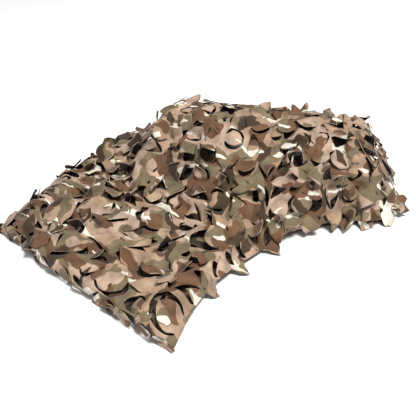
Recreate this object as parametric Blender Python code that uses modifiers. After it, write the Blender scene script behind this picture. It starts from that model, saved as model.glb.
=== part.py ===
# Camouflage netting: one leaf-cut cloth, folded into a mat in front and heaped up behind it.
# Metres, +Z up, the ground at z = 0, X to the right and Y away from the front.

import math
import random

import bmesh
import bpy
from mathutils import Vector
from mathutils.bvhtree import BVHTree

clothThickness = 0.002
layerHeight = clothThickness / 2
matColumns = 8
matRows = 5
heapColumns = 13
frontRows = 5
backRows = 3
matHeight = 0.058
innerClearance = 0.042
leftClearance = 0.030
shiftX = 0.0055
shiftY = -0.0196
leafSeed = 41

# Where the cloth runs on the ground plan, by column of leaves from left to right.
# Front fold of the mat: column, x, y
frontEdge = (
    (0, -0.596, -0.014),
    (2, -0.460, -0.146),
    (4, -0.336, -0.256),
    (6, -0.212, -0.372),
    (8, -0.080, -0.470),
)
# Foot of the heap, on the mat up to column 8 and on the ground beyond: column, x, y, z
heapFoot = (
    (0, -0.470, 0.182, 0.038),
    (0.5, -0.430, 0.170, 0.065),
    (1, -0.388, 0.155, 0.070),
    (2, -0.305, 0.118, 0.064),
    (4, -0.160, 0.036, 0.064),
    (6, -0.005, -0.060, 0.060),
    (7, 0.074, -0.096, 0.054),
    (7.5, 0.112, -0.108, 0.042),
    (8, 0.151, -0.112, 0.018),
    (9, 0.226, -0.040, 0.005),
    (10, 0.305, -0.010, 0.005),
    (11, 0.388, 0.016, 0.005),
    (12, 0.472, 0.014, 0.005),
    (13, 0.560, 0.044, 0.005),
)
# Crest of the heap: column, x, y, z
heapCrest = (
    (0, -0.302, 0.345, 0.045),
    (0.5, -0.290, 0.362, 0.080),
    (1.5, -0.236, 0.366, 0.098),
    (2.3, -0.180, 0.374, 0.120),
    (3.1, -0.126, 0.388, 0.196),
    (4, -0.052, 0.374, 0.212),
    (6, 0.104, 0.334, 0.220),
    (8, 0.253, 0.306, 0.221),
    (10, 0.384, 0.280, 0.214),
    (11.5, 0.474, 0.262, 0.204),
    (12.3, 0.502, 0.240, 0.160),
    (13, 0.556, 0.190, 0.070),
)
# Back foot of the heap on the ground: column, x, y, z
heapBack = (
    (0, -0.306, 0.430, 0.005),
    (3, -0.110, 0.5184, 0.005),
    (6, 0.116, 0.466, 0.005),
    (8, 0.266, 0.440, 0.005),
    (10, 0.400, 0.412, 0.005),
    (12, 0.530, 0.372, 0.005),
    (13, 0.586, 0.318, 0.005),
)
# Slope of the heap from foot to crest, where it stands on the mat and where it stands on the ground:
# row, share of the way back, share of the height
slopeOnMat = (
    (0, 0.0, 0.0),
    (1, 0.17, 0.20),
    (2, 0.36, 0.48),
    (3, 0.57, 0.77),
    (4, 0.79, 0.96),
    (5, 1.0, 1.0),
)
slopeOnGround = (
    (0, 0.0, 0.0),
    (1, 0.10, 0.42),
    (2, 0.24, 0.80),
    (3, 0.46, 0.99),
    (4, 0.73, 1.03),
    (5, 1.0, 1.0),
)
slopeBehind = (
    (0, 0.0, 1.0),
    (1, 0.42, 0.87),
    (2, 0.76, 0.48),
    (3, 1.0, 0.0),
)
# Soft ridges and troughs of the outer cloth: x and y of both ends, half width, height
creases = (
    (-0.560, 0.030, -0.400, 0.250, 0.034, 0.012),
    (-0.500, -0.030, -0.330, 0.170, 0.038, -0.014),
    (-0.420, -0.160, -0.230, 0.050, 0.050, 0.013),
    (-0.260, -0.300, -0.080, -0.060, 0.042, -0.013),
    (-0.120, -0.400, 0.030, -0.190, 0.045, 0.012),
    (0.160, -0.060, 0.195, 0.150, 0.050, -0.018),
    (0.010, 0.010, 0.035, 0.250, 0.060, 0.020),
    (-0.125, 0.110, -0.095, 0.330, 0.042, -0.020),
    (0.405, 0.020, 0.425, 0.240, 0.040, -0.018),
    (0.300, 0.020, 0.310, 0.250, 0.055, 0.014),
)
# Section of the mat from its front fold backwards under itself and forwards again:
# share of the way to the heap, height, step in from both sides
matSection = (
    (0.14, layerHeight, 0.022),
    (0.40, layerHeight, 0.026),
    (0.66, layerHeight, 0.028),
    (0.88, layerHeight, 0.030),
    (0.93, 0.008, 0.032),
    (0.94, 0.020, 0.034),
    (0.88, 0.029, 0.036),
    (0.60, 0.030, 0.034),
    (0.34, 0.029, 0.034),
    (0.12, 0.024, 0.036),
)
# Section of the heap from its back foot forwards along the ground and up inside:
# share of the way from back to foot, height, step in from both ends
heapSection = (
    (0.09, layerHeight, 0.022),
    (0.34, layerHeight, 0.040),
    (0.62, layerHeight, 0.052),
    (0.86, layerHeight, 0.064),
    (0.915, 0.009, 0.072),
    (0.925, 0.026, 0.078),
)
# Front fold of the mat, down from its top: share of the top's height, step out
foldSection = (
    (0.50, 0.010),
    (0.0, -0.003),
)
foldFoot = 0.0035
# Rows of the outer cloth that the inner layer follows, at the inner clearance below it
innerRows = (6.4, 7.2, 8.2, 9.3, 10.4, 11.3, 12.0)

# Outlines of the leaves, in shares of a cell: half the root, then along, left and right
leafKinds = {
    "round": (0.15, (0.21, -0.30, 0.30), (0.50, -0.33, 0.33), (0.74, -0.16, 0.16)),
    "pointed": (0.21, (0.21, -0.30, 0.28), (0.50, -0.22, 0.27), (0.77, -0.01, 0.09)),
    "hooked": (0.17, (0.21, -0.32, 0.21), (0.48, -0.35, 0.07), (0.74, -0.27, -0.14)),
    "broad": (0.23, (0.22, -0.32, 0.31), (0.50, -0.29, 0.34), (0.74, -0.08, 0.24)),
}
rootStep = 0.11
leafGap = 0.030
rootGap = 0.055
leafGrowth = 1.12
foldLeafGrowth = 0.92
liftLeast = math.radians(14)
liftMost = math.radians(40)
topLift = math.radians(15)
leafClearance = 0.0038
rootClearance = 0.0026
slitClearance = 0.0021
leafTries = 24
cornerShift = 0.14
middleShift = 0.04
pucker = 0.004


def clearScene():
    for item in list(bpy.data.objects):
        bpy.data.objects.remove(item, do_unlink=True)


def valueAlong(table, position):
    # Smooth curve through a table's rows, read at one position
    last = len(table) - 1
    row = 0
    while row < last - 1 and position > table[row + 1][0]:
        row += 1
    before, start, end, after = (table[min(max(row + k, 0), last)] for k in (-1, 0, 1, 2))
    length = end[0] - start[0]
    share = (position - start[0]) / length
    found = []
    for k in range(1, len(start)):
        slopeIn = (end[k] - before[k]) / (end[0] - before[0]) * length
        slopeOut = (after[k] - start[k]) / (after[0] - start[0]) * length
        change = end[k] - start[k]
        low = slopeIn - change
        high = change - slopeOut
        bend = share * (1 - share) * (low * (1 - share) + high * share)
        found.append(start[k] + change * share + bend)
    return found


def smoothStep(low, high, value):
    share = min(max((value - low) / (high - low), 0), 1)
    return share * share * (3 - 2 * share)


def mixed(first, second, share):
    return first + (second - first) * share


def creaseHeight(x, y):
    total = 0
    for x1, y1, x2, y2, width, height in creases:
        dx, dy = x2 - x1, y2 - y1
        share = ((x - x1) * dx + (y - y1) * dy) / (dx * dx + dy * dy)
        share = min(max(share, 0), 1)
        away = math.hypot(x - x1 - dx * share, y - y1 - dy * share)
        total += height * math.exp(-((away / width) ** 2))
    return total


def foldPoint(column, row):
    # The mat's front fold, from row 0 at its top to row -1 at the ground
    top = smoothPoint(column, 0)
    foot = Vector(valueAlong(heapFoot, column)[:2])
    outward = (Vector((top.x, top.y)) - foot).normalized()
    curve = [(0, *top)]
    for k, (height, out) in enumerate(foldSection):
        z = mixed(foldFoot, top.z, height)
        curve.append(((k + 1) / len(foldSection), top.x + outward.x * out, top.y + outward.y * out, z))
    return Vector(valueAlong(curve, -row))


def smoothPoint(column, row):
    # The outer cloth without its creases: the front fold for rows -1 to 0, the mat's top for
    # rows 0 to 5, then the heap from its foot over the crest to the ground behind
    if row < 0:
        return foldPoint(column, row)
    foot = valueAlong(heapFoot, column)
    if row <= matRows:
        edge = valueAlong(frontEdge, min(column, matColumns))
        share = row / matRows
        sides = min(column, matColumns - column)
        droop = 0.34 + 0.66 * smoothStep(-0.1, 0.8, sides)
        left = 1 + 0.22 * smoothStep(3, 0, column)
        flat = matHeight * droop * left * (0.84 + 0.16 * smoothStep(0, 0.8, row))
        z = mixed(flat, foot[2], smoothStep(3.4, 5, row))
        return Vector((mixed(edge[0], foot[0], share), mixed(edge[1], foot[1], share), z))
    crest = valueAlong(heapCrest, column)
    if row <= matRows + frontRows:
        onMat = valueAlong(slopeOnMat, row - matRows)
        onGround = valueAlong(slopeOnGround, row - matRows)
        share = smoothStep(6.5, 9.5, column)
        along = mixed(onMat[0], onGround[0], share)
        up = mixed(onMat[1], onGround[1], share) ** (1 + 0.9 * smoothStep(3, 0, column))
        return Vector((
            mixed(foot[0], crest[0], along),
            mixed(foot[1], crest[1], along),
            mixed(foot[2], crest[2], up),
        ))
    back = valueAlong(heapBack, column)
    along, up = valueAlong(slopeBehind, row - matRows - frontRows)
    return Vector((
        mixed(crest[0], back[0], along),
        mixed(crest[1], back[1], along),
        mixed(back[2], crest[2], up),
    ))


def facing(surface, column, row):
    step = 0.04
    side = surface(column + step, row) - surface(column - step, row)
    ahead = surface(column, row + step) - surface(column, row - step)
    return side.cross(ahead).normalized()


def outerPoint(column, row):
    point = smoothPoint(column, row)
    height = creaseHeight(point.x, point.y) * smoothStep(0, 0.04, point.z)
    point += facing(smoothPoint, column, row) * height
    point.z = max(point.z, foldFoot)
    return point


def chanceAt(column, row, salt):
    return random.Random(round(column * 2) * 977 + round(row * 2) * 31 + salt * 7919 + leafSeed)


def onFreeEdge(column, row):
    if column == 0 or column == heapColumns:
        return True
    if column == matColumns and row < matRows:
        return True
    return column > matColumns and row == matRows


def spot(column, row):
    # Where a corner or a side's middle lies in the cloth, shifted so that no two cells are alike
    chance = chanceAt(column, row, 1)
    if column != int(column):
        first, second = spot(column - 0.5, row), spot(column + 0.5, row)
    elif row != int(row):
        first, second = spot(column, row - 0.5), spot(column, row + 0.5)
    else:
        shift = [chance.uniform(-cornerShift, cornerShift) for k in (0, 1)]
        if row <= 0 or row == matRows + frontRows + backRows:
            shift[1] = 0
        if onFreeEdge(column, row) or row < 0:
            shift = [0, 0]
        return column + shift[0], row + shift[1]
    middle = [(first[k] + second[k]) / 2 for k in (0, 1)]
    if not onFreeEdge(column, row) and 0 < row < matRows + frontRows + backRows:
        middle = [value + chance.uniform(-middleShift, middleShift) for value in middle]
    return middle


def gridPoint(column, row):
    # A corner or a side's middle of a cell, puckered, with the free edges cut wavy
    place = spot(column, row)
    point = outerPoint(*place)
    chance = chanceAt(column, row, 2)
    if row <= -0.5 or row == matRows + frontRows + backRows:
        return point
    if onFreeEdge(column, row):
        inside = outerPoint(
            min(max(column, 1), matColumns - 1 if row < matRows else heapColumns - 1),
            max(row, matRows + 1) if column > matColumns else row,
        )
        point += (inside - point) * chance.uniform(-0.14, 0.03)
        return Vector((point.x, point.y, max(point.z, foldFoot)))
    point += facing(outerPoint, *place) * pucker * chance.uniform(-1, 1)
    point.z = max(point.z, foldFoot)
    return point


def stepIn(table, column, columns, inset):
    # A column stepped in from both sides of a table by the same distance
    left = Vector(valueAlong(table, 0)[:2])
    right = Vector(valueAlong(table, columns)[:2])
    step = inset / (right - left).length * columns
    return mixed(step, columns - step, column / columns)


def matPoint(column, station):
    share, height, inset = matSection[station]
    column = stepIn(frontEdge, column, matColumns, inset)
    edge = Vector(valueAlong(frontEdge, column))
    foot = Vector(valueAlong(heapFoot, column)[:2])
    plan = mixed(edge, foot, share)
    return Vector((plan.x, plan.y, height))


def heapPoint(column, station):
    share, height, inset = heapSection[station]
    column = stepIn(heapBack, column, heapColumns, inset)
    back = Vector(valueAlong(heapBack, column)[:2])
    foot = Vector(valueAlong(heapFoot, column)[:2])
    plan = mixed(back, foot, share)
    return Vector((plan.x, plan.y, height))


def innerPoint(column, station):
    column = mixed(1.05, heapColumns - 1.05, column / heapColumns)
    row = innerRows[station]
    clearance = mixed(leftClearance, innerClearance, smoothStep(1, 4, column))
    point = smoothPoint(column, row) - facing(smoothPoint, column, row) * clearance
    point.z = max(point.z, 0.012)
    return point


class Cloth:
    # The cloth as one open surface, made of cells with a leaf cut in them and of plain cells

    def __init__(self):
        self.surface = bmesh.new()
        self.grid = {}
        self.leaves = []
        self.laid = []

    def knot(self, key, makePoint, *where):
        if key not in self.grid:
            self.grid[key] = self.surface.verts.new(makePoint(*where))
        return self.grid[key]

    def outline(self, column, row):
        steps = ((0, 0), (0, 0.5), (0, 1), (0.5, 1), (1, 1), (1, 0.5), (1, 0), (0.5, 0))
        found = []
        for a, b in steps:
            key = (round((column + a) * 2), round((row + b) * 2))
            found.append(self.knot(key, gridPoint, column + a, row + b))
        return found

    def plainCell(self, corners):
        faces = [self.surface.faces.new(corners)]
        bmesh.ops.triangulate(self.surface, faces=faces)


def cellPoint(column, row, a, b):
    # A point of the outer cloth at shares a and b of a cell
    corners = [spot(column + i, row + j) for i, j in ((0, 0), (1, 0), (0, 1), (1, 1))]
    weights = ((1 - a) * (1 - b), a * (1 - b), (1 - a) * b, a * b)
    place = [sum(w * corner[k] for w, corner in zip(weights, corners)) for k in (0, 1)]
    return outerPoint(*place)


def turned(across, along, quarter):
    # Cell shares of a leaf's point, whose root lies at one of the cell's four sides
    across += 0.5
    return (
        (across, along),
        (along, 1 - across),
        (1 - across, 1 - along),
        (1 - along, across),
    )[quarter]


def cutCell(cloth, column, row):
    # Cuts the hole of one leaf and keeps what the leaf needs
    chance = random.Random(row * 101 + column * 7 + leafSeed)
    border = cloth.outline(column, row)
    root, *lines = leafKinds[chance.choice(sorted(leafKinds))]
    quarter = chance.choice((0, 1, 2, 2, 3)) if row >= 0 else 2
    if column == 0 and row >= 0:
        quarter = 1
    sidestep = chance.uniform(-0.03, 0.03)
    if chance.random() < 0.5:
        lines = [(along, -right, -left) for along, left, right in lines]

    def place(across, along):
        return cellPoint(column, row, *turned(across + sidestep, along + rootStep, quarter))

    outline = [place(-root, 0)]
    gaps = (rootGap, leafGap)
    for (along, left, right), gap in zip(lines, gaps):
        outline.append(place(left - gap, along))
    along, left, right = lines[2]
    outline.append(place(left - leafGap / 2, along + leafGap))
    outline.append(place(right + leafGap / 2, along + leafGap))
    for (along, left, right), gap in reversed(list(zip(lines, gaps))):
        outline.append(place(right + gap, along))
    outline.append(place(root, 0))
    ring = [cloth.surface.verts.new(point) for point in outline]

    # The border's corners in the leaf's own order, from the one left of its root
    loop = [border[(2 * quarter + k) % 8] for k in range(8)]
    add = cloth.surface.faces.new
    add((loop[0], ring[1], ring[0]))
    for k in range(6):
        add((loop[k], loop[k + 1], ring[k + 1]))
        add((loop[k + 1], ring[k + 2], ring[k + 1]))
    add((loop[6], loop[7], ring[7]))
    add((loop[7], loop[0], ring[0]))
    add((loop[7], ring[0], ring[7]))

    middle = (outline[0] + outline[7]) / 2
    across = (outline[7] - outline[0]).normalized()
    outward = place(0, 0.06) - middle
    outward = (outward - across * outward.dot(across)).normalized()
    onTop = smoothStep(8.2, 9.4, row + 0.5) * smoothStep(12.2, 11.2, row + 0.5)
    if row < 0 or column in (0, heapColumns - 1) or (column == matColumns - 1 and row < matRows):
        onTop = 1
    cloth.leaves.append({
        "ring": ring,
        "lines": lines,
        "middle": middle,
        "across": across,
        "outward": outward,
        "up": across.cross(outward),
        "width": (outline[7] - outline[0]).length / (2 * root),
        "length": (place(0, lines[2][0]) - middle).length / lines[2][0] * (leafGrowth if row >= 0 else foldLeafGrowth),
        "most": mixed(liftMost, topLift, onTop),
        "chance": chance,
    })


def leafPoints(leaf, lift, curl, twist, size):
    # Left and right points of the leaf, which bends up from its root and curls along its length
    position = leaf["middle"].copy()
    reached = 0
    pairs = []
    for k, (along, left, right) in enumerate(leaf["lines"]):
        angle = lift + curl * k
        step = (along - reached) * leaf["length"] * size
        if k == 0:
            step /= math.cos(angle)
        position += (leaf["outward"] * math.cos(angle) + leaf["up"] * math.sin(angle)) * step
        reached = along
        tilt = leaf["up"] * twist * (k + 1) / 2
        for side in (left, right):
            point = position + (leaf["across"] + tilt) * side * leaf["width"] * size
            point.z = max(point.z, foldFoot)
            pairs.append(point)
    return pairs


def clearOf(tree, points, sheets):
    # How far the leaf's outer two thirds stay from another surface, nought where they cross
    if tree.overlap(sheets):
        return 0
    return min(tree.find_nearest(point)[3] for point in points)


def layLeaf(cloth, sheetTree, leaf):
    # Takes the first bend at which the leaf clears the cloth and the leaves laid before it
    best = None
    for attempt in range(leafTries):
        lift = leaf["chance"].uniform(min(liftLeast, leaf["most"] * 0.5), leaf["most"])
        lift += math.radians(2.5) * max(attempt - 6, 0)
        curl = -lift * leaf["chance"].uniform(-0.12, 0.46)
        size = 1 - 0.03 * max(attempt - 8, 0)
        pairs = leafPoints(leaf, lift, curl, leaf["chance"].uniform(-0.3, 0.3) * lift, size)
        quads = [(0, 2, 3, 1), (2, 4, 5, 3)]
        own = BVHTree.FromPolygons(pairs, quads)
        points = pairs[2:] + [(pairs[k] + pairs[k + 1]) / 2 for k in (2, 4)]
        points += [(pairs[k] + pairs[k + 2]) / 2 for k in (0, 1, 2, 3)]
        clear = clearOf(sheetTree, points, own)
        nearRoot = min(sheetTree.find_nearest(point)[3] for point in pairs[:2])
        slits = [mixed(leaf["ring"][k].co, point, 0.4) for k, point in ((0, pairs[0]), (7, pairs[1]))]
        nearSlit = min(sheetTree.find_nearest(point)[3] for point in slits)
        clear = min(clear, nearRoot + leafClearance - rootClearance)
        clear = min(clear, nearSlit + leafClearance - slitClearance)
        centre = sum(pairs, Vector()) / 6
        for otherCentre, other in cloth.laid:
            if (otherCentre - centre).length < 0.15:
                clear = min(clear, clearOf(other, points, own))
        if best is None or clear > best[0]:
            best = (clear, pairs, own, centre)
        if clear > leafClearance:
            break
    clear, pairs, own, centre = best
    cloth.laid.append((centre, own))
    add = cloth.surface.faces.new
    left = [leaf["ring"][0]] + [cloth.surface.verts.new(pairs[k]) for k in (0, 2, 4)]
    right = [leaf["ring"][7]] + [cloth.surface.verts.new(pairs[k]) for k in (1, 3, 5)]
    for k in range(3):
        add((left[k], left[k + 1], right[k + 1]))
        add((left[k], right[k + 1], right[k]))
    return clear


def layOuterCloth(cloth):
    for row in range(-1, matRows + frontRows + backRows):
        columns = matColumns if row < matRows else heapColumns
        for column in range(columns):
            behind = row >= matRows + frontRows
            if behind and (row + column) % 2:
                cloth.plainCell(cloth.outline(column, row))
            else:
                cutCell(cloth, column, row)


def layHiddenRows(cloth, name, columns, pointAt, stations, firstRow, turn):
    # Plain rows of cloth that go on from an outer row, one row for each station
    for station in range(stations):
        for column in range(columns):
            if station == 0:
                near = [cloth.grid[(2 * column + k, 2 * firstRow)] for k in (0, 1, 2)]
            else:
                near = [cloth.grid[(name, station - 1, c)] for c in (column, column + 1)]
            far = [cloth.knot((name, station, c), pointAt, c, station) for c in (column + 1, column)]
            cell = near + far
            cloth.plainCell(cell[::-1] if turn else cell)


def clothMaterial():
    material = bpy.data.materials.new("printedCloth")
    material.use_nodes = True
    shader = material.node_tree.nodes["Principled BSDF"]
    shader.inputs["Base Color"].default_value = (0.32, 0.24, 0.17, 1)
    shader.inputs["Roughness"].default_value = 0.85
    shader.inputs["Metallic"].default_value = 0
    return material


def heapOrInnerPoint(column, station):
    if station < len(heapSection):
        return heapPoint(column, station)
    return innerPoint(column, station - len(heapSection))


def buildNetting():
    cloth = Cloth()
    layOuterCloth(cloth)
    layHiddenRows(cloth, "mat", matColumns, matPoint, len(matSection), -1, False)
    lastRow = matRows + frontRows + backRows
    hiddenRows = len(heapSection) + len(innerRows)
    layHiddenRows(cloth, "heap", heapColumns, heapOrInnerPoint, hiddenRows, lastRow, True)
    sheetTree = BVHTree.FromBMesh(cloth.surface)
    for leaf in cloth.leaves:
        layLeaf(cloth, sheetTree, leaf)
    for vert in cloth.surface.verts:
        vert.co.x += shiftX
        vert.co.y += shiftY
    mesh = bpy.data.meshes.new("leaf_cut_net")
    cloth.surface.to_mesh(mesh)
    cloth.surface.free()
    net = bpy.data.objects.new("leaf_cut_net", mesh)
    collection = bpy.data.collections.new("camouflage_netting")
    bpy.context.scene.collection.children.link(collection)
    collection.objects.link(net)
    net.data.materials.append(clothMaterial())
    thicken = net.modifiers.new("clothThickness", "SOLIDIFY")
    thicken.thickness = clothThickness
    thicken.offset = 0
    thicken.use_even_offset = False
    return net


clearScene()
buildNetting()
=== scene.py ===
import math
import random

import bmesh
import bpy
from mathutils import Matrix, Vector, noise
from mathutils.bvhtree import BVHTree


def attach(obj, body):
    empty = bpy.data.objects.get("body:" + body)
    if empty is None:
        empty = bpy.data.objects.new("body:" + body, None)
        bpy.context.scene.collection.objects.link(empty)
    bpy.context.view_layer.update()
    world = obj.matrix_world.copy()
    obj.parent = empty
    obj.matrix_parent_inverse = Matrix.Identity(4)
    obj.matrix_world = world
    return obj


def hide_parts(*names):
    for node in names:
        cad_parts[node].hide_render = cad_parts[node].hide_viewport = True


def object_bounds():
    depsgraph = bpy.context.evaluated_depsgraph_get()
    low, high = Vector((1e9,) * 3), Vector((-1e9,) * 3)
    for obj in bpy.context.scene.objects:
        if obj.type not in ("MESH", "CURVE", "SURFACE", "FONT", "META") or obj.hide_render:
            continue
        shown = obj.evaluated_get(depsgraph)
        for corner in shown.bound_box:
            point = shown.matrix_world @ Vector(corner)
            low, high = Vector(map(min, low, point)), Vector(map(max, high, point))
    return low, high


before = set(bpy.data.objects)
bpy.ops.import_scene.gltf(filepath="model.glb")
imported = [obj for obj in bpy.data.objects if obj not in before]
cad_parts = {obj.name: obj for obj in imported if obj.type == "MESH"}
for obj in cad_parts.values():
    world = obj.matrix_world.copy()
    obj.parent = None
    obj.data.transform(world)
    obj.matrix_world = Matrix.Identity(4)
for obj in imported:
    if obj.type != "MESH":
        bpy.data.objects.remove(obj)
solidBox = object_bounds()
print("frame loaded")

# ---- the drape: where the cloth runs, by column of leaves (left to right) and by row ----

drape = {
    "matColumns": 8,
    "matRows": 5,
    "heapColumns": 13,
    "frontRows": 5,
    "backRows": 3,
    "matHeight": 0.058,
    # share of the mat's height at its side edges and what it gains inwards, then at its front fold
    "sideDroop": (0.34, 0.66),
    "frontDroop": (0.84, 0.16),
    "leftSwell": 0.22,  # how much higher the mat stands at its left end
    "leftHollow": 0.9,  # how much later the heap's slope rises there
    "drawnIn": 0.032,  # of the mat's right edge, between its corner and the heap
    "drawnBack": 0.6,  # share of that pull that goes towards the heap
    "sideBulge": 0.010,  # of the left side, half way down
    "nearSide": 0.6,  # column that shows which way the left side faces
    "lowest": 0.0035,  # how near the ground the outer cloth comes
    "shift": (0.0055, -0.0196, 0.0),
}
# The folds under it all: rows under the heap, how far in from the sides and the front they lie,
# their share of the height above, their height on the ground, and where they run from front to back
lowFolds = {
    "heapRows": 4,
    "sideInset": 0.15,
    "frontInset": 0.2,
    "heightShare": 0.45,
    "onGround": 0.006,
    "starts": 0.03,
    "runs": 0.9,
}
# Front fold of the mat: column, x, y
frontEdge = (
    (0, -0.596, -0.014),
    (2, -0.460, -0.146),
    (4, -0.336, -0.256),
    (6, -0.212, -0.372),
    (8, -0.080, -0.470),
)
# Foot of the heap, on the mat up to column 8 and on the ground beyond: column, x, y, z
heapFoot = (
    (0, -0.470, 0.182, 0.038),
    (0.5, -0.430, 0.170, 0.065),
    (1, -0.388, 0.155, 0.070),
    (2, -0.305, 0.118, 0.064),
    (4, -0.160, 0.036, 0.064),
    (6, -0.005, -0.060, 0.060),
    (7, 0.074, -0.096, 0.054),
    (7.5, 0.112, -0.108, 0.042),
    (8, 0.151, -0.112, 0.018),
    (9, 0.226, -0.040, 0.005),
    (10, 0.305, -0.010, 0.005),
    (11, 0.388, 0.016, 0.005),
    (12, 0.472, 0.014, 0.005),
    (13, 0.560, 0.044, 0.005),
)
# Crest of the heap: column, x, y, z
heapCrest = (
    (0, -0.302, 0.345, 0.045),
    (0.5, -0.290, 0.362, 0.080),
    (1.5, -0.236, 0.366, 0.098),
    (2.3, -0.180, 0.374, 0.120),
    (3.1, -0.126, 0.388, 0.196),
    (4, -0.052, 0.374, 0.212),
    (6, 0.104, 0.334, 0.220),
    (8, 0.253, 0.306, 0.221),
    (10, 0.384, 0.280, 0.214),
    (11.5, 0.474, 0.262, 0.204),
    (12.3, 0.502, 0.240, 0.160),
    (13, 0.556, 0.190, 0.070),
)
# Back foot of the heap on the ground: column, x, y, z
heapBack = (
    (0, -0.306, 0.430, 0.005),
    (3, -0.110, 0.5184, 0.005),
    (6, 0.116, 0.466, 0.005),
    (8, 0.266, 0.440, 0.005),
    (10, 0.400, 0.412, 0.005),
    (12, 0.530, 0.372, 0.005),
    (13, 0.586, 0.318, 0.005),
)
# Slopes of the heap: row, share of the way, share of the height
slopeOnMat = ((0, 0, 0), (1, 0.17, 0.20), (2, 0.36, 0.48), (3, 0.57, 0.77), (4, 0.79, 0.96), (5, 1, 1))
slopeOnGround = ((0, 0, 0), (1, 0.10, 0.42), (2, 0.24, 0.80), (3, 0.46, 0.99), (4, 0.73, 1.03), (5, 1, 1))
slopeBehind = ((0, 0, 1), (1, 0.42, 0.87), (2, 0.76, 0.48), (3, 1, 0))
# Soft ridges and troughs: x and y of both ends, half width, height
creases = (
    (-0.560, 0.030, -0.400, 0.250, 0.034, 0.012),
    (-0.500, -0.030, -0.330, 0.170, 0.038, -0.014),
    (-0.420, -0.160, -0.230, 0.050, 0.050, 0.013),
    (-0.260, -0.300, -0.080, -0.060, 0.042, -0.013),
    (-0.120, -0.400, 0.030, -0.190, 0.045, 0.012),
    (0.160, -0.060, 0.195, 0.150, 0.050, -0.018),
    (0.010, 0.010, 0.035, 0.250, 0.060, 0.020),
    (-0.125, 0.110, -0.095, 0.330, 0.042, -0.020),
    (0.405, 0.020, 0.425, 0.240, 0.040, -0.018),
    (0.300, 0.020, 0.310, 0.250, 0.055, 0.014),
)
foldSection = ((0.50, 0.010), (0.0, -0.003))  # front fold: share of the height, step out


def valueAlong(table, position):
    # smooth curve through a table's rows
    last = len(table) - 1
    row = 0
    while row < last - 1 and position > table[row + 1][0]:
        row += 1
    before, start, end, after = (table[min(max(row + k, 0), last)] for k in (-1, 0, 1, 2))
    length = end[0] - start[0]
    share = (position - start[0]) / length
    found = []
    for k in range(1, len(start)):
        slopeIn = (end[k] - before[k]) / (end[0] - before[0]) * length
        slopeOut = (after[k] - start[k]) / (after[0] - start[0]) * length
        change = end[k] - start[k]
        bend = share * (1 - share) * ((slopeIn - change) * (1 - share) + (change - slopeOut) * share)
        found.append(start[k] + change * share + bend)
    return found


def smoothStep(low, high, value):
    share = min(max((value - low) / (high - low), 0), 1)
    return share * share * (3 - 2 * share)


def mixed(first, second, share):
    return first + (second - first) * share


def creaseHeight(x, y):
    total = 0
    for x1, y1, x2, y2, width, height in creases:
        dx, dy = x2 - x1, y2 - y1
        share = min(max(((x - x1) * dx + (y - y1) * dy) / (dx * dx + dy * dy), 0), 1)
        away = math.hypot(x - x1 - dx * share, y - y1 - dy * share)
        total += height * math.exp(-((away / width) ** 2))
    return total


def foldPoint(column, row):
    top = smoothPoint(column, 0)
    foot = Vector(valueAlong(heapFoot, column)[:2])
    outward = (Vector((top.x, top.y)) - foot).normalized()
    curve = [(0, *top)]
    for k, (height, out) in enumerate(foldSection):
        z = mixed(drape["lowest"], top.z, height)
        curve.append(((k + 1) / len(foldSection), top.x + outward.x * out, top.y + outward.y * out, z))
    return Vector(valueAlong(curve, -row))


def sidePoint(column, row):
    # the left side, folded down to the ground
    top, inside = smoothPoint(0, row), smoothPoint(drape["nearSide"], row)
    outward = Vector((top.x - inside.x, top.y - inside.y, 0)).normalized()
    place = top + outward * drape["sideBulge"] * math.sin(math.pi * -column)
    place.z = mixed(top.z, drape["lowest"], -column)
    return place


def smoothPoint(column, row):
    # columns -1 to 0 are the left side, columns 0 to 8 or 13 the rest
    # rows -1 to 0 are the front fold, 0 to 5 the mat, 5 to 10 the heap's front, 10 to 13 its back
    if column < 0:
        return sidePoint(column, row)
    if row < 0:
        return foldPoint(column, row)
    foot = valueAlong(heapFoot, column)
    if row <= drape["matRows"]:
        edge = valueAlong(frontEdge, min(column, drape["matColumns"]))
        share = row / drape["matRows"]
        sides = min(column, drape["matColumns"] - column)
        least, gain = drape["sideDroop"]
        droop = least + gain * smoothStep(-0.1, 0.8, sides)
        left = 1 + drape["leftSwell"] * smoothStep(3, 0, column)
        least, gain = drape["frontDroop"]
        flat = drape["matHeight"] * droop * left * (least + gain * smoothStep(0, 0.8, row))
        z = mixed(flat, foot[2], smoothStep(3.4, 5, row))
        pull = drape["drawnIn"] * math.sin(math.pi * share) * smoothStep(4.5, 8, column)
        return Vector((
            mixed(edge[0], foot[0], share) - pull,
            mixed(edge[1], foot[1], share) + drape["drawnBack"] * pull,
            z,
        ))
    crest = valueAlong(heapCrest, column)
    row -= drape["matRows"]
    if row <= drape["frontRows"]:
        onMat = valueAlong(slopeOnMat, row)
        onGround = valueAlong(slopeOnGround, row)
        share = smoothStep(6.5, 9.5, column)
        along = mixed(onMat[0], onGround[0], share)
        up = mixed(onMat[1], onGround[1], share)
        up **= 1 + drape["leftHollow"] * smoothStep(3, 0, column)
        return Vector(mixed(foot[k], crest[k], (along, along, up)[k]) for k in range(3))
    back = valueAlong(heapBack, column)
    along, up = valueAlong(slopeBehind, row - drape["frontRows"])
    return Vector((
        mixed(crest[0], back[0], along),
        mixed(crest[1], back[1], along),
        mixed(back[2], crest[2], up),
    ))


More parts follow.
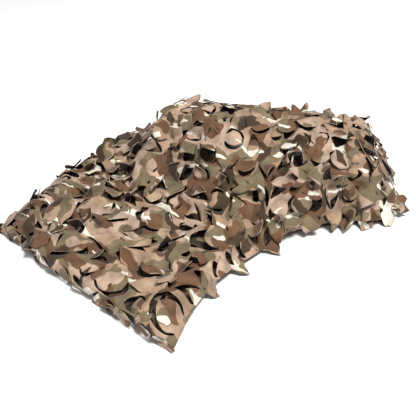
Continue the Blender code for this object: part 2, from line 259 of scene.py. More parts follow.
def groundPoint(column, row):
    # half way up the mat, then flat on the ground under the heap
    onMat = drape["matRows"]
    columns = drape["matColumns"] if row < onMat else drape["heapColumns"]
    inset = lowFolds["sideInset"]
    column = mixed(inset, columns - inset, column / columns)
    if row < onMat:
        place = smoothPoint(column, mixed(lowFolds["frontInset"], onMat, row / onMat))
        place.z *= lowFolds["heightShare"]
        return place
    share = lowFolds["starts"] + (row - onMat) / lowFolds["heapRows"] * lowFolds["runs"]
    foot, back = valueAlong(heapFoot, column), valueAlong(heapBack, column)
    height = mixed(foot[2] * lowFolds["heightShare"], lowFolds["onGround"], smoothStep(0, 0.4, share))
    return Vector((mixed(foot[0], back[0], share), mixed(foot[1], back[1], share), height))


class Drape:
    # the smooth drape, read once on a fine grid and then between its points
    step = 0.125

    def __init__(self, surface, firstRow, lastRow, firstColumn, lastColumn, creased):
        self.firstRow = firstRow
        self.firstColumn = firstColumn
        self.wide = round((lastColumn - firstColumn) / self.step) + 1
        self.long = round((lastRow - firstRow) / self.step) + 1
        self.points = [
            [surface(firstColumn + i * self.step, firstRow + j * self.step) for i in range(self.wide)]
            for j in range(self.long)
        ]
        self.facings = self.allFacings()
        if creased:
            for line, facing in zip(self.points, self.facings):
                for point, up in zip(line, facing):
                    point += up * creaseHeight(point.x, point.y) * smoothStep(0, 0.04, point.z)
            self.facings = self.allFacings()

    def allFacings(self):
        found = []
        for j in range(self.long):
            line = []
            for i in range(self.wide):
                side = self.points[j][min(i + 1, self.wide - 1)] - self.points[j][max(i - 1, 0)]
                ahead = self.points[min(j + 1, self.long - 1)][i] - self.points[max(j - 1, 0)][i]
                line.append(side.cross(ahead).normalized())
            found.append(line)
        return found

    def between(self, values, column, row):
        x = min(max((column - self.firstColumn) / self.step, 0), self.wide - 1.001)
        y = min(max((row - self.firstRow) / self.step, 0), self.long - 1.001)
        i, j = int(x), int(y)
        a, b = x - i, y - j
        near = values[j][i].lerp(values[j][i + 1], a)
        far = values[j + 1][i].lerp(values[j + 1][i + 1], a)
        return near.lerp(far, b)

    def place(self, column, row):
        return self.between(self.points, column, row)

    def facing(self, column, row):
        return self.between(self.facings, column, row).normalized()


lastRow = drape["matRows"] + drape["frontRows"] + drape["backRows"]
outerDrape = Drape(smoothPoint, -1, lastRow, -1, drape["heapColumns"], True)
lastLowRow = drape["matRows"] + lowFolds["heapRows"]
groundDrape = Drape(groundPoint, 0, lastLowRow, 0, drape["heapColumns"], False)
print("drape read")

# ---- the leaves ----

# Shape of each kind: half width along the leaf from root to tip, bend of its middle line,
# length, and depth of a notch in its tip, all in shares of a cell
leafKinds = {
    "disc": {"half": (0.15, 0.34, 0.42, 0.43, 0.36, 0.14), "bend": 0.00, "long": 0.84, "notch": 0.00},
    "wideDisc": {"half": (0.26, 0.40, 0.44, 0.41, 0.31, 0.10), "bend": 0.05, "long": 0.80, "notch": 0.00},
    "pointed": {"half": (0.27, 0.40, 0.40, 0.31, 0.17, 0.01), "bend": 0.14, "long": 0.88, "notch": 0.00},
    "sickle": {"half": (0.20, 0.32, 0.33, 0.27, 0.16, 0.01), "bend": 0.36, "long": 0.88, "notch": 0.00},
    "fin": {"half": (0.34, 0.40, 0.34, 0.24, 0.12, 0.01), "bend": 0.42, "long": 0.80, "notch": 0.00},
    "fork": {"half": (0.15, 0.24, 0.33, 0.42, 0.43, 0.38), "bend": 0.00, "long": 0.84, "notch": 0.36},
    "broad": {"half": (0.29, 0.40, 0.41, 0.41, 0.35, 0.22), "bend": 0.08, "long": 0.82, "notch": 0.08},
    "blade": {"half": (0.20, 0.25, 0.25, 0.21, 0.13, 0.01), "bend": 0.22, "long": 0.90, "notch": 0.00},
    "tongue": {"half": (0.27, 0.29, 0.32, 0.35, 0.38, 0.37), "bend": 0.12, "long": 0.76, "notch": 0.05},
}
leafChoice = (
    "disc", "wideDisc", "pointed", "pointed", "sickle", "fin", "fin", "fork", "broad", "blade", "tongue",
)
bigLeafChoice = ("wideDisc", "broad", "fin", "disc")
edgeLeafChoice = ("pointed", "sickle", "fin", "pointed", "broad")
leafGrid = {"along": 8, "across": 6, "side": 7}  # faces of a leaf, and of each side of its cell
# How a leaf is cut in its cell, in shares of the cell
leafCut = {
    "rootStep": 0.09,  # from the cell's side to the root
    "tip": 0.955,  # farthest that the hole goes across the cell
    "aside": 0.455,  # and to each side of its middle
    "leftGap": 0.012,  # slit round a leaf of the left side; each cloth has its own elsewhere
    "opens": 0.15,  # share of the leaf along which the slit opens
    "wide": (0.92, 1.06),
    "variety": (0.84, 1.14),
    "steep": 0.25,  # slope past which most leaves hang down
    "edgeGrowth": 0.78,
}
# How a leaf stands and bends; angles in degrees
leafBend = {
    "tidyLifts": (1, 7),
    "curl": (0.2, 1.7),  # back along the leaf, in shares of its lift
    "cup": 0.14,
    "twist": 0.3,
    "foldPlace": (0.25, 0.7),
    "foldAngle": (-65, 75),
    "calmFolded": 0.2,  # share of the folds left on big leaves and at the crest
    "crestRows": 2,  # calm rows in front of the crest
    "crestGrowth": 0.9,
    "ripple": 0.0036,
    "steeper": (5, 2.0),  # tries after which each further one lifts the leaf, and by how much
    "smaller": (6, 0.035),  # tries after which each further one makes it smaller, and by what share
    "near": 0.12,  # leaves whose middles are closer than this are tested against each other
    "outsideCost": 4000,
}
noFold = (2, 0)  # a fold past the tip


def leafFlat(kind, side, s, t):
    # a point of a flat leaf: s from root to tip, t from -1 to 1 across, in shares of a cell
    half = list(enumerate(kind["half"]))
    width = max(valueAlong(half, s * (len(half) - 1))[0], 0.012)
    middle = kind["bend"] * (s * s - 0.35 * s) * side
    notch = 1 - kind["notch"] * math.exp(-((t / 0.42) ** 2)) * s
    return middle + t * width, s * kind["long"] * notch


def turned(across, along, quarter):
    across += 0.5
    return (
        (across, along),
        (along, 1 - across),
        (1 - across, 1 - along),
        (1 - along, across),
    )[quarter]


class LeafCloth:
    # one layer of cloth, made of square cells, each with a leaf cut free in it

    def __init__(self, facts, surface):
        self.facts = facts
        self.drape = surface
        self.mesh = bmesh.new()
        self.print = self.mesh.loops.layers.uv.new("flatCloth")
        self.flat = {}
        self.border = {}
        self.leaves = []
        self.laid = []

    def spot(self, column, row):
        # where a cell's point lies in the drape, whose columns and rows are wider
        return valueAlong(self.facts["across"], column)[0], valueAlong(self.facts["back"], row)[0]

    def fromEdges(self, column, row):
        # cells to the nearest side edge, and to the nearest front or back edge
        facts = self.facts
        right = facts["matColumns"] if row < facts["heapRow"] else facts["columns"]
        front = facts["heapRow"] if column > facts["matColumns"] else 0
        return min(column - facts["firstColumn"], right - column), min(row - front, facts["rows"] - row)

    def warp(self, column, row):
        # pulls the even grid of cells out of square, and leaves the free edges alone
        amount = self.facts["warp"]
        side, ahead = self.fromEdges(column, row)
        here = Vector((column * 0.75, row * 0.75, self.facts["seed"] * 3.7))
        across, along = noise.noise(here), noise.noise(here + Vector((31.7, 12.9, 7.3)))
        column += across * amount * smoothStep(0, 1, side + 0.2)
        return column, row + along * amount * smoothStep(0, 1, ahead + 0.2)

    def point(self, column, row):
        # the cloth's own ruffles stand on the drape
        column, row = self.warp(column, row)
        side, ahead = self.fromEdges(column, row)
        column, row = self.spot(column, row)
        seed = self.facts["seed"]
        place = self.drape.place(column, row)
        up = self.drape.facing(column, row)
        large = noise.noise(Vector((column * 1.15, row * 1.15, seed * 1.3)))
        small = noise.noise(Vector((column * 3.0, row * 3.0, seed * 5.1)))
        sharp = 0.6 - 2.4 * abs(noise.noise(Vector((column * 1.5 + 9, row * 1.4, seed * 2.9))))
        height = self.facts["ruffle"] * large + self.facts["pucker"] * small + self.facts["crumple"] * sharp
        calm = (0.25 + 0.75 * smoothStep(-0.2, 1.3, row)) * (0.3 + 0.7 * smoothStep(0, 1.3, side))
        calm *= 1 - 0.5 * math.exp(-(((row - 10) / 1.2) ** 2))
        place = place + up * (height * calm - self.facts["depth"])
        foot = math.exp(-(((row - drape["matRows"]) / 0.6) ** 2)) * smoothStep(8, 9, column)
        place.z += self.facts["clearOfGround"] * foot
        place.z = max(place.z, self.facts["lowest"])
        return place

    def knot(self, column, row, place=None):
        vert = self.mesh.verts.new(place or self.point(column, row))
        self.flat[vert] = (column, row)
        return vert

    def borderKnot(self, column, row):
        key = (round(column * leafGrid["side"]), round(row * leafGrid["side"]))
        if key not in self.border:
            self.border[key] = self.knot(column, row)
        return self.border[key]

    def cellBorder(self, column, row, cells=1):
        n = leafGrid["side"] * cells
        steps = [(0, k / n) for k in range(n)] + [(k / n, 1) for k in range(n)]
        steps += [(1, 1 - k / n) for k in range(n)] + [(1 - k / n, 0) for k in range(n)]
        return [self.borderKnot(column + a * cells, row + b * cells) for a, b in steps]

    def face(self, *verts):
        self.mesh.faces.new(verts)

    def cutCell(self, column, row, cells=1):
        facts = self.facts
        chance = random.Random(round(row * 101 + column * 7) * 13 + facts["seed"])
        border = self.cellBorder(column, row, cells)
        kind = leafKinds[chance.choice(bigLeafChoice if cells > 1 else leafChoice)]
        side = chance.choice((-1, 1))
        steep = 1 - self.drape.facing(*self.spot(column + 0.5, row + 0.5)).z
        quarter = chance.choice((0, 1, 2, 3) if steep < leafCut["steep"] else (1, 2, 2, 2, 3, 0))
        # a leaf at a tidy edge keeps inside it: its root lies on the side given here
        tidy = True
        if row < facts["foldRows"]:
            quarter = chance.choice((1, 3))
        elif column < 0:
            quarter = 3
        elif column == 0:
            quarter = 1
        elif row < facts["heapRow"] and column >= facts["matColumns"] - 1:
            quarter = 3
        else:
            tidy = False
        if row == facts["heapRow"] and column >= facts["matColumns"]:
            quarter = 2
        if row >= facts["crestRow"] and not tidy:
            quarter = chance.choice((0, 0, 1, 3))
        chosen = facts["chosenLeaves"].get((column, row), {})
        if chosen:
            kind, quarter = leafKinds[chosen["kind"]], chosen["quarter"]
        wide = chance.uniform(*leafCut["wide"])
        gap = (leafCut["leftGap"] if column <= 0 else facts["gap"]) / cells
        aside = leafCut["aside"]
        along, across = leafGrid["along"] * cells, leafGrid["across"] * cells

        def flat(s, t, widen=0):
            x, y = leafFlat(kind, side, s, t)
            x += widen * t
            x = min(max(x * wide, -aside), aside)
            return turned(x, min(y + leafCut["rootStep"] + widen * 0.5 * s, leafCut["tip"]), quarter)

        # hole: left side, tip, right side, root
        hole = [(k / along, -1) for k in range(along + 1)]
        hole += [(1, -1 + 2 * k / across) for k in range(1, across)]
        hole += [(1 - k / along, 1) for k in range(along + 1)]
        hole += [(0, 1 - 2 * k / across) for k in range(1, across)]
        spots = [flat(s, t, gap * smoothStep(0, leafCut["opens"], s)) for s, t in hole]
        ring = [self.knot(column + a * cells, row + b * cells) for a, b in spots]
        total = len(ring)
        loop = [border[(leafGrid["side"] * cells * quarter + k - cells) % total] for k in range(total)]
        middle = []
        for outer, inner in zip(loop, ring):
            a, b = self.flat[outer], self.flat[inner]
            middle.append(self.knot((a[0] + b[0]) / 2, (a[1] + b[1]) / 2))
        for k in range(total):
            n = (k + 1) % total
            self.face(loop[k], middle[k], middle[n], loop[n])
            self.face(middle[k], ring[k], ring[n], middle[n])

        rootVerts = [ring[0]] + [ring[total - k] for k in range(1, across)] + [ring[2 * along + across]]
        if column <= 0:
            growth = facts["leftGrowth"]
        else:
            growth = facts["tidyGrowth"] if tidy or cells > 1 else facts["growth"]
        self.leaves.append({
            "root": rootVerts,
            "kind": kind,
            "side": side,
            "wide": wide,
            "flat": lambda s, t: [base + part * cells for base, part in zip((column, row), flat(s, t))],
            "cells": cells,
            "chance": chance,
            "row": row,
            "tidy": tidy,
            "growth": growth,
            "variety": chance.uniform(*leafCut["variety"]),
            "chosen": chosen,
        })

    def edgeLeaf(self, verts, outward, chance):
        # a leaf left hanging on the cloth's cut edge
        kind = leafKinds[chance.choice(edgeLeafChoice)]
        side = chance.choice((-1, 1))
        first = Vector(self.flat[verts[0]])
        last = Vector(self.flat[verts[-1]])
        away = Vector(outward)
        self.leaves.append({
            "root": verts,
            "kind": kind,
            "side": side,
            "wide": 1.0,
            "flat": lambda s, t: first.lerp(last, (t + 1) / 2) + away * leafFlat(kind, side, s, t)[1],
            "cells": 1,
            "chance": chance,
            "row": first.y,
            "tidy": False,
            "growth": leafCut["edgeGrowth"],
            "variety": 1.0,
            "chosen": {},
        })

    def leafShape(self, leaf, lift, curl, cup, twist, fold, size):
        # bends the flat leaf up from its root, curls it along its length and cups it across
        left, right = leaf["root"][0].co, leaf["root"][-1].co
        base = (left + right) / 2
        across = (right - left).normalized()
        out = leaf["out"]
        out = (out - across * out.dot(across)).normalized()
        up = across.cross(out)
        cell = self.facts["cell"] * size * leaf["cells"]
        rows, columns = leafGrid["along"] * leaf["cells"], leafGrid["across"] * leaf["cells"]
        position = base.copy()
        lines = []
        reached = 0
        for j in range(1, rows + 1):
            s = j / rows
            y = leafFlat(leaf["kind"], leaf["side"], s, -1)[1]
            bend = lift + curl * s + fold[1] * smoothStep(fold[0] - 0.02, fold[0] + 0.09, s)
            direction = out * math.cos(bend) + up * math.sin(bend)
            lifted = up * math.cos(bend) - out * math.sin(bend)
            position = position + direction * (y - reached) * cell
            reached = y
            line = []
            for i in range(columns + 1):
                t = -1 + 2 * i / columns
                x, own = leafFlat(leaf["kind"], leaf["side"], s, t)
                x *= leaf["wide"] * cell
                bow = cup * (t * t - 0.35) * s * cell + twist * t * s * cell
                ripple = noise.noise(base * 40 + Vector((x * 38, y * 3.1, 4.2)))
                ripple = ripple * leafBend["ripple"] * s
                # blends from the root's own line into the bent leaf
                grip = smoothStep(0, 0.35, s)
                rootPoint = leaf["root"][i].co - base
                spread = mixed(rootPoint.dot(across), x, grip)
                height = mixed(rootPoint.dot(up), 0, grip)
                place = position + across * spread + lifted * (bow + ripple + height)
                place += direction * (own - y) * cell
                place.z = max(place.z, self.facts["lowest"])
                line.append(place)
            lines.append(line)
        return lines

    def bendTried(self, leaf, least, most, attempt):
        # one way for a leaf to stand; later tries lift it more and make it smaller
        facts, chance = self.facts, leaf["chance"]
        after, step = leafBend["steeper"]
        lift = math.radians(chance.uniform(least, most)) / leaf["cells"]
        lift += math.radians(step) * max(attempt - after, 0)
        curl = -lift * chance.uniform(*leafBend["curl"])
        cup = chance.uniform(-leafBend["cup"], leafBend["cup"]) / leaf["cells"]
        twist = chance.uniform(-leafBend["twist"], leafBend["twist"]) * lift
        fold = noFold
        calm = leaf["cells"] > 1 or leaf["row"] >= facts["crestRow"] - leafBend["crestRows"]
        folded = facts["folded"] * (0 if leaf["tidy"] else leafBend["calmFolded"] if calm else 1)
        if chance.random() < folded:
            fold = (
                chance.uniform(*leafBend["foldPlace"]),
                math.radians(chance.uniform(*leafBend["foldAngle"])),
            )
        chosen = leaf["chosen"]
        growth = chosen.get("growth", leaf["growth"])
        growth *= 1 if leaf["tidy"] or chosen else leaf["variety"]
        growth *= leafBend["crestGrowth"] if leaf["row"] >= facts["crestRow"] else 1
        after, step = leafBend["smaller"]
        size = growth * (1 - step * max(attempt - after, 0))
        if chosen:
            lift, curl, cup, twist, fold = math.radians(chosen["lift"]), 0, 0, chosen["twist"], noFold
        return self.leafShape(leaf, lift, curl, cup, twist, fold, size)

    def leafQuads(self, leaf):
        across = leafGrid["across"] * leaf["cells"]
        quads = []
        for j in range(leafGrid["along"] * leaf["cells"] - 1):
            for i in range(across):
                a = j * (across + 1) + i
                quads.append((a, a + 1, a + across + 2, a + across + 1))
        return quads

    def layLeaves(self):
        # each leaf takes the first bend that clears the cloth and the leaves laid before it
        sheetTree = BVHTree.FromBMesh(self.mesh)
        facts = self.facts
        low, high = boxReach()
        touching = 0
        for leaf in self.leaves:
            if "out" not in leaf:
                leaf["out"] = self.leafDirection(leaf)
            quads = self.leafQuads(leaf)
            lifts = valueAlong(facts["lifts"], self.spot(0, leaf["row"])[1])
            least, most = leafBend["tidyLifts"] if leaf["tidy"] else lifts
            best = None
            for attempt in range(facts["tries"]):
                lines = self.bendTried(leaf, least, most, attempt)
                points = [point for line in lines for point in line]
                outside = max(max(max(low[k] - p[k], p[k] - high[k]) for k in range(3)) for p in points)
                own = BVHTree.FromPolygons(points, quads)
                hits = len(own.overlap(sheetTree))
                centre = sum(points, Vector()) / len(points)
                for otherCentre, other in self.laid:
                    if (otherCentre - centre).length < leafBend["near"]:
                        hits += len(own.overlap(other))
                cost = hits + max(outside, 0) * leafBend["outsideCost"]
                if best is None or cost < best[0]:
                    best = (cost, lines, own, centre)
                if cost == 0:
                    break
            cost, lines, own, centre = best
            touching += cost > 0
            self.laid.append((centre, own))
            self.sewLeaf(leaf, lines)
        print(facts["name"], "leaves", len(self.leaves), "touching", touching)

    def leafDirection(self, leaf):
        # from the root towards the middle of the hole, on the cloth
        a, b = leaf["flat"](0, 0), leaf["flat"](0.5, 0)
        return self.point(*b) - self.point(*a)

    def sewLeaf(self, leaf, lines):
        previous = leaf["root"]
        rows, across = leafGrid["along"] * leaf["cells"], leafGrid["across"] * leaf["cells"]
        for j, line in enumerate(lines):
            current = []
            for i, place in enumerate(line):
                vert = self.mesh.verts.new(place)
                self.flat[vert] = tuple(leaf["flat"]((j + 1) / rows, -1 + 2 * i / across))
                current.append(vert)
            for i in range(across):
                self.face(previous[i], previous[i + 1], current[i + 1], current[i])
            previous = current

    def finish(self):
        # the print's place on the flat cloth, in metres
        cell = self.facts["cell"]
        offset = Vector(self.facts["printShift"])
        for face in self.mesh.faces:
            face.smooth = True
            for loop in face.loops:
                column, row = self.flat[loop.vert]
                loop[self.print].uv = (column * cell + offset.x, row * cell + offset.y)
        shift = Vector(drape["shift"])
        for vert in self.mesh.verts:
            vert.co += shift
        data = bpy.data.meshes.new(self.facts["name"])
        self.mesh.to_mesh(data)
        self.mesh.free()
        piece = bpy.data.objects.new(self.facts["name"], data)
        bpy.context.scene.collection.objects.link(piece)
        return piece


def boxReach():
    # the cloth may stand a little proud of the solid's box
    low, high = solidBox
    shift = Vector(drape["shift"])
    proud = [0.022 * (high[k] - low[k]) + 0.006 for k in range(3)]
    return (
        Vector((low.x - proud[0], low.y - proud[1], 0.002)) - shift,
        Vector(high[k] + proud[k] for k in range(3)) - shift,
    )


def hasCell(facts, column, row):
    # the mat is narrower than the heap, and the left side has no cell at the front fold
    if column < 0:
        return row >= facts["foldRows"]
    return column < (facts["matColumns"] if row < facts["heapRow"] else facts["columns"])


def layCloth(facts):
    cloth = LeafCloth(facts, facts["surface"])
    cells = [
        (column, row)
        for row in range(facts["rows"])
        for column in range(facts["firstColumn"], facts["columns"])
        if hasCell(facts, column, row)
    ]
    covered = set()
    for column, row in facts["bigLeaves"]:
        cloth.cutCell(column, row, 2)
        covered |= {(column + a, row + b) for a in (0, 1) for b in (0, 1)}
    for column, row in cells:
        if (column, row) not in covered:
            cloth.cutCell(column, row)
    if facts["edgeLeaves"]:
        addEdgeLeaves(cloth, cells)
    cloth.layLeaves()
    return cloth.finish(), len(cells)


def edgeShare(facts, row, dx):
    # the heap's right end and its foot on the ground are ragged, the mat's fold is tidy
    shares = facts["edgeLeaves"]
    if row >= facts["heapRow"]:
        return shares["heapEnd" if dx else "heapFoot"]
    return shares["matSide"] if dx else 0.0


def addEdgeLeaves(cloth, cells):
    # leaves left along the cut edges, pointing outwards
    known = set(cells)
    n = leafGrid["side"]
    across = leafGrid["across"]
    for column, row in cells:
        chance = random.Random(row * 57 + column * 19 + cloth.facts["seed"] * 5)
        for dx, dy in ((1, 0), (0, -1)):
            share = edgeShare(cloth.facts, row, dx)
            if (column + dx, row + dy) in known or chance.random() > share:
                continue
            if dx:
                spots = [(column + 1, row + k / n) for k in range(across + 1)]
            else:
                spots = [(column + k / n, row) for k in range(across + 1)]
            verts = [cloth.borderKnot(*spot) for spot in spots][::-1]
            cloth.edgeLeaf(verts, (dx, dy), chance)
            inside = cloth.point(column + 0.5, row + 0.5)
            cloth.leaves[-1]["out"] = (verts[0].co + verts[-1].co) / 2 - inside


# ---- materials ----


def linearColour(code):
    # sRGB hex to linear
    parts = [int(code[k:k + 2], 16) / 255 for k in (1, 3, 5)]
    return tuple(p / 12.92 if p <= 0.04045 else ((p + 0.055) / 1.055) ** 2.4 for p in parts) + (1,)


def addNode(material, kind, settings=None, links=None):
    # adds a node, sets its values and plugs other nodes' outputs into it
    node = material.node_tree.nodes.new(kind)
    for name, value in (settings or {}).items():
        if isinstance(name, int) or name in node.inputs:
            node.inputs[name].default_value = value
        else:
            setattr(node, name, value)
    for name, output in (links or {}).items():
        material.node_tree.links.new(output, node.inputs[name])
    return node


# Matt polyester with a printed blotch camouflage. Sizes in millimetres.
printFacts = {
    "pinkTan": "#B19783",
    "sand": "#A3876E",
    "oliveKhaki": "#74654C",
    "midBrown": "#684932",
    "darkOlive": "#423120",
    "cream": "#DED8C6",
    "cutEdge": "#B79F86",
    "baseSize": 170,
    "baseEdge": (0.38, 0.62),
    "warpSize": 40,
    "warp": 0.034,
    "dyeSize": 46,
    "dye": (0.66, 1.28),  # least and most brightness
    "weaveSize": 0.9,
    "creaseSize": 11,
}
# Blotches over the base: colour, size, soft edge of the noise, place and stretch
printBlotches = (
    ("oliveKhaki", 74, (0.550, 0.565), (1.3, 4.1, 0), (1, 1, 1)),
    ("midBrown", 66, (0.592, 0.608), (7.7, 2.6, 0), (1, 1, 1)),
    ("darkOlive", 50, (0.680, 0.693), (3.1, 9.2, 0), (1.0, 0.55, 1)),
    ("cream", 44, (0.765, 0.780), (12.4, 6.3, 0), (0.5, 1.25, 1)),
)
# share of red, green and blue left on the reverse and on the layers in the shade, the warm tint of their
# painted shade
paintedShadeWarmth = (1.0, 0.8, 0.58)
# The cloth: thickness as made, brightness of its reverse, which is duller than the face and darkened
# further as painted shade, and how far the reverse's print lies off
clothFacts = {"thickness": 0.0009, "reverseDullAndShade": 0.23, "reverseShift": (0.9, 1.7)}


def printedCloth(title, dullAndShade, shadeWarmth, shift):
    material = bpy.data.materials.new(title)
    material.use_nodes = True
    shader = material.node_tree.nodes["Principled BSDF"]
    shader.inputs["Roughness"].default_value = 0.78
    shader.inputs["Specular IOR Level"].default_value = 0.28
    shader.inputs["Sheen Weight"].default_value = 0.12
    shader.inputs["Sheen Roughness"].default_value = 0.5
    flat = addNode(material, "ShaderNodeUVMap", {"uv_map": "flatCloth"})
    place = addNode(material, "ShaderNodeMapping", {"Location": shift}, {"Vector": flat.outputs["UV"]})

    # the blotches' outlines swim a little
    swim = addNode(
        material, "ShaderNodeTexNoise",
        {"noise_dimensions": "2D", "Scale": 1000 / printFacts["warpSize"], "Detail": 1.0},
        {"Vector": place.outputs["Vector"]},
    )
    swimCentred = addNode(
        material, "ShaderNodeVectorMath",
        {"operation": "SUBTRACT", 1: (0.5, 0.5, 0.5)}, {0: swim.outputs["Color"]},
    )
    swimSmall = addNode(
        material, "ShaderNodeVectorMath",
        {"operation": "SCALE", "Scale": printFacts["warp"]}, {0: swimCentred.outputs["Vector"]},
    )
    moved = addNode(
        material, "ShaderNodeVectorMath",
        {"operation": "ADD"}, {0: place.outputs["Vector"], 1: swimSmall.outputs["Vector"]},
    )

    def blotch(size, edge, offset, stretch=(1, 1, 1)):
        where = addNode(
            material, "ShaderNodeMapping",
            {"Location": offset, "Scale": stretch, "Rotation": (0, 0, offset[0])},
            {"Vector": moved.outputs["Vector"]},
        )
        cloud = addNode(
            material, "ShaderNodeTexNoise",
            {"noise_dimensions": "2D", "Scale": 1000 / size, "Detail": 0.0},
            {"Vector": where.outputs["Vector"]},
        )
        cut = addNode(
            material, "ShaderNodeMapRange",
            {"interpolation_type": "SMOOTHSTEP", "From Min": edge[0], "From Max": edge[1]},
            {"Value": cloud.outputs["Fac"]},
        )
        return cut.outputs["Result"]

    def paint(under, over, share):
        mix = addNode(material, "ShaderNodeMix", {"data_type": "RGBA"})
        links = material.node_tree.links
        links.new(share, mix.inputs[0])
        for socket, value in ((mix.inputs[6], under), (mix.inputs[7], over)):
            if isinstance(value, tuple):
                socket.default_value = value
            else:
                links.new(value, socket)
        return mix.outputs[2]

    tint = {key: linearColour(value) for key, value in printFacts.items() if isinstance(value, str)}
    base = blotch(printFacts["baseSize"], printFacts["baseEdge"], (0, 0, 0))
    colour = paint(tint["pinkTan"], tint["sand"], base)
    for name, size, edge, offset, stretch in printBlotches:
        colour = paint(colour, tint[name], blotch(size, edge, offset, stretch))

    # soft uneven dye; then painted shade: duller and warmer on the reverse and on the layers that lie in
    # the shade, and a little duller overall on the outer face
    cloud = addNode(
        material, "ShaderNodeTexNoise",
        {"noise_dimensions": "2D", "Scale": 1000 / printFacts["dyeSize"], "Detail": 2.0},
        {"Vector": place.outputs["Vector"]},
    )
    dye = addNode(
        material, "ShaderNodeMapRange",
        {
            "From Min": 0.25, "From Max": 0.75,
            "To Min": printFacts["dye"][0] * dullAndShade, "To Max": printFacts["dye"][1] * dullAndShade,
        },
        {"Value": cloud.outputs["Fac"]},
    )
    shade = addNode(
        material, "ShaderNodeVectorMath", {"operation": "SCALE"},
        {0: colour, "Scale": dye.outputs["Result"]},
    )
    warmed = addNode(
        material, "ShaderNodeVectorMath", {"operation": "MULTIPLY", 1: shadeWarmth},
        {0: shade.outputs["Vector"]},
    )
    material.node_tree.links.new(warmed.outputs["Vector"], shader.inputs["Base Color"])

    # plain weave, drawn coarser than real so that it shows, over soft creases
    weave = addNode(
        material, "ShaderNodeTexVoronoi",
        {"voronoi_dimensions": "2D", "Scale": 1000 / printFacts["weaveSize"], "Randomness": 0.15},
        {"Vector": flat.outputs["UV"]},
    )
    crease = addNode(
        material, "ShaderNodeTexNoise",
        {"noise_dimensions": "2D", "Scale": 1000 / printFacts["creaseSize"], "Detail": 3.0},
        {"Vector": flat.outputs["UV"]},
    )
    weaveBump = addNode(
        material, "ShaderNodeBump", {"Strength": 0.12, "Distance": 0.0003},
        {"Height": weave.outputs["Distance"]},
    )
    creaseBump = addNode(
        material, "ShaderNodeBump", {"Strength": 0.55, "Distance": 0.004},
        {"Height": crease.outputs["Fac"], "Normal": weaveBump.outputs["Normal"]},
    )
    material.node_tree.links.new(creaseBump.outputs["Normal"], shader.inputs["Normal"])
    return material


def cutEdge():
    # heat-cut polyester edge, a little paler than the print
    material = bpy.data.materials.new("cutPolyesterEdge")
    material.use_nodes = True
    shader = material.node_tree.nodes["Principled BSDF"]
    shader.inputs["Base Color"].default_value = linearColour(printFacts["cutEdge"])
    shader.inputs["Roughness"].default_value = 0.7
    return material


def dressCloth(piece, facts):
    dullAndShade, (x, y), (dx, dy) = facts["dullAndShade"], facts["printShift"], clothFacts["reverseShift"]
    for material in (
        printedCloth(piece.name + "Print", dullAndShade, facts["shadeWarmth"], (x, y, 0)),
        # the reverse: duller than the face, and darker and warmer still as painted shade
        printedCloth(
            piece.name + "Reverse", clothFacts["reverseDullAndShade"] * dullAndShade, paintedShadeWarmth, (x + dx, y + dy, 0),
        ),
        cutEdge(),
    ):
        piece.data.materials.append(material)
    # a thin cloth: face, reverse and cut edge
    thicken = piece.modifiers.new("clothThickness", "SOLIDIFY")
    thicken.thickness = clothFacts["thickness"]
    thicken.offset = 0
    thicken.use_even_offset = False
    thicken.material_offset = 1
    thicken.material_offset_rim = 2
    bpy.ops.object.select_all(action="DESELECT")
    piece.select_set(True)
    bpy.context.view_layer.objects.active = piece
    bpy.ops.object.modifier_apply(modifier=thicken.name)
    piece.select_set(False)


# ---- the pieces ----

outerCloth = {
    "name": "outer_cloth",
    "seed": 41,
    "surface": outerDrape,
    "cell": 0.060,  # one leaf's share of the flat cloth, each way
    # cells of the cloth, and the drape's columns and rows that they lie on
    "firstColumn": -1,
    "matColumns": 11,
    "columns": 18,
    "foldRows": 1,
    "heapRow": 8,
    "crestRow": 15,
    "rows": 19,
    "across": ((-1, -1), (0, 0), (11, 8), (18, 13)),
    "back": ((0, -1), (1, 0), (8, 5), (15, 10), (19, 13)),
    "depth": 0.0,
    "ruffle": 0.013,
    "pucker": 0.006,
    "crumple": 0.007,
    "clearOfGround": 0.016,
    "warp": 0.32,
    "gap": 0.026,
    "lowest": 0.0035,
    # row of the drape, least and most lift of a leaf, in degrees
    "lifts": (
        (-1, 1, 6), (0, 7, 26), (3, 9, 32), (6, 18, 58),
        (7.8, 14, 46), (8.6, 4, 14), (9.6, 2, 9), (13, 2, 8),
    ),
    "growth": 1.16,
    "leftGrowth": 1.04,
    "tidyGrowth": 0.94,
    "folded": 0.50,
    "tries": 16,
    "edgeLeaves": {"heapEnd": 0.65, "heapFoot": 0.3, "matSide": 0.3},  # share of cells that have one
    "bigLeaves": ((9, 1), (6, 1), (3, 1), (1, 3), (7, 3), (4, 3), (2, 5), (5, 6), (8, 6)),
    # leaves that show plainly, such as the disc at the heap's right end
    "chosenLeaves": {
        (9, 1): {"kind": "wideDisc", "quarter": 3, "lift": 9, "twist": 0.0, "growth": 0.86},
        (17, 11): {"kind": "fin", "quarter": 3, "lift": 12, "twist": 0.0},
        (15, 12): {"kind": "disc", "quarter": 0, "lift": 20, "twist": 0.0, "growth": 1.15},
        (13, 11): {"kind": "disc", "quarter": 2, "lift": 14, "twist": 0.0, "growth": 1.25},
        (12, 9): {"kind": "disc", "quarter": 2, "lift": 14, "twist": 0.1, "growth": 1.2},
        (13, 9): {"kind": "disc", "quarter": 2, "lift": 20, "twist": 0.0, "growth": 1.2},
        (15, 9): {"kind": "disc", "quarter": 2, "lift": 16, "twist": 0.1},
    },
    "printShift": (2.3, 1.9),
    "dullAndShade": 0.84,
    "shadeWarmth": (1.0, 1.0, 1.0),
}
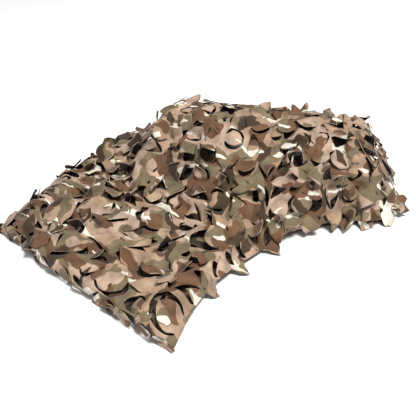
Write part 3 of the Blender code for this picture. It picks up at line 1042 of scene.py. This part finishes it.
underCloth = {
    "name": "under_cloth",
    "seed": 77,
    "surface": outerDrape,
    "cell": 0.080,
    "firstColumn": 0,
    "matColumns": 7,
    "columns": 12,
    "foldRows": 1,
    "heapRow": 6,
    "crestRow": 11,
    "rows": 13,
    "across": ((0, -0.95), (1, 0.05), (12, 12.4)),
    "back": ((0, -0.95), (1, 0.05), (13, 12.5)),
    "depth": 0.022,
    "ruffle": 0.010,
    "pucker": 0.005,
    "crumple": 0.004,
    "clearOfGround": 0.0,
    "warp": 0.30,
    "gap": 0.010,
    "lowest": 0.0030,
    "lifts": ((-1, 0, 3), (0, 2, 10), (6, 4, 18), (9, 2, 8), (13, 1, 6)),
    "growth": 0.98,
    "leftGrowth": 0.62,
    "tidyGrowth": 0.62,
    "folded": 0.15,
    "tries": 8,
    "edgeLeaves": {},
    "bigLeaves": (),
    "chosenLeaves": {},
    "printShift": (3.1, 1.7),
    # painted shade: this layer lies in the shade under the outer cloth, so its print is drawn darker and
    # warmer
    "dullAndShade": 0.20,
    "shadeWarmth": paintedShadeWarmth,
}
groundCloth = {
    "name": "ground_cloth",
    "seed": 19,
    "surface": groundDrape,
    "cell": 0.080,
    "firstColumn": 0,
    "matColumns": 8,
    "columns": 13,
    "foldRows": 0,
    "heapRow": 5,
    "crestRow": 9,
    "rows": 9,
    "across": ((0, 0), (13, 13)),
    "back": ((0, 0), (9, 9)),
    "depth": 0.0,
    "ruffle": 0.008,
    "pucker": 0.004,
    "crumple": 0.003,
    "clearOfGround": 0.0,
    "warp": 0.20,
    "gap": 0.008,
    "lowest": 0.0025,
    "lifts": ((0, 1, 5), (9, 1, 5)),
    "growth": 0.96,
    "leftGrowth": 0.96,
    "tidyGrowth": 0.96,
    "folded": 0.0,
    "tries": 6,
    "edgeLeaves": {},
    "bigLeaves": (),
    "chosenLeaves": {},
    "printShift": (5.3, 4.9),
    # painted shade: this layer lies in the shade under the heap and the mat, so its print is drawn darker
    # and warmer
    "dullAndShade": 0.20,
    "shadeWarmth": paintedShadeWarmth,
}

for facts in (outerCloth, underCloth, groundCloth):
    piece, cells = layCloth(facts)
    dressCloth(piece, facts)
    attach(piece, "root")
    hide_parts("leaf_cut_net")
    print(facts["name"], "made,", sum(len(p.vertices) - 2 for p in piece.data.polygons), "triangles")

# ---- floor, light and camera ----

studio = {
    "target": (0.0055, -0.0196, 0.08),
    "elevation": 37.0,
    "distance": 2.05,
    "lens": 62.0,
    "sensor": 36,
    "floor": "#F7F7F8",
    "floorSize": 14,
    "skyStrength": 0.36,
    "keyPower": 315.0,
    "keySize": 1.3,
    "keyPlace": (0.8, -1.5, 4.4),
}
bpy.ops.object.select_all(action="DESELECT")
bpy.ops.mesh.primitive_plane_add(size=studio["floorSize"], location=(0, 0, 0))
floor = bpy.context.active_object
floor.name = "studio_floor"
paper = bpy.data.materials.new("paleSeamlessPaper")
paper.use_nodes = True
matt = paper.node_tree.nodes["Principled BSDF"].inputs
matt["Base Color"].default_value = linearColour(studio["floor"])
matt["Roughness"].default_value = 0.9
floor.data.materials.append(paper)

world = bpy.data.worlds.new("softStudio")
world.use_nodes = True
sky = world.node_tree.nodes["Background"].inputs
sky["Color"].default_value = (1, 1, 1, 1)
sky["Strength"].default_value = studio["skyStrength"]
bpy.context.scene.world = world

target = Vector(studio["target"])


def aimed(thing, place, at):
    thing.location = place
    thing.rotation_euler = (Vector(at) - Vector(place)).to_track_quat("-Z", "Y").to_euler()


key = bpy.data.lights.new("keySoftbox", "AREA")
key.energy = studio["keyPower"]
key.size = studio["keySize"]
keyObject = bpy.data.objects.new("keySoftbox", key)
bpy.context.scene.collection.objects.link(keyObject)
aimed(keyObject, studio["keyPlace"], target)

lens = bpy.data.cameras.new("photoCamera")
lens.lens = studio["lens"]
lens.sensor_width = studio["sensor"]
camera = bpy.data.objects.new("photoCamera", lens)
bpy.context.scene.collection.objects.link(camera)
tilt = math.radians(studio["elevation"])
back = Vector((0, -math.cos(tilt), math.sin(tilt))) * studio["distance"]
aimed(camera, target + back, target)
bpy.context.scene.camera = camera
bpy.context.scene.view_settings.view_transform = "Standard"

print("scene ready")
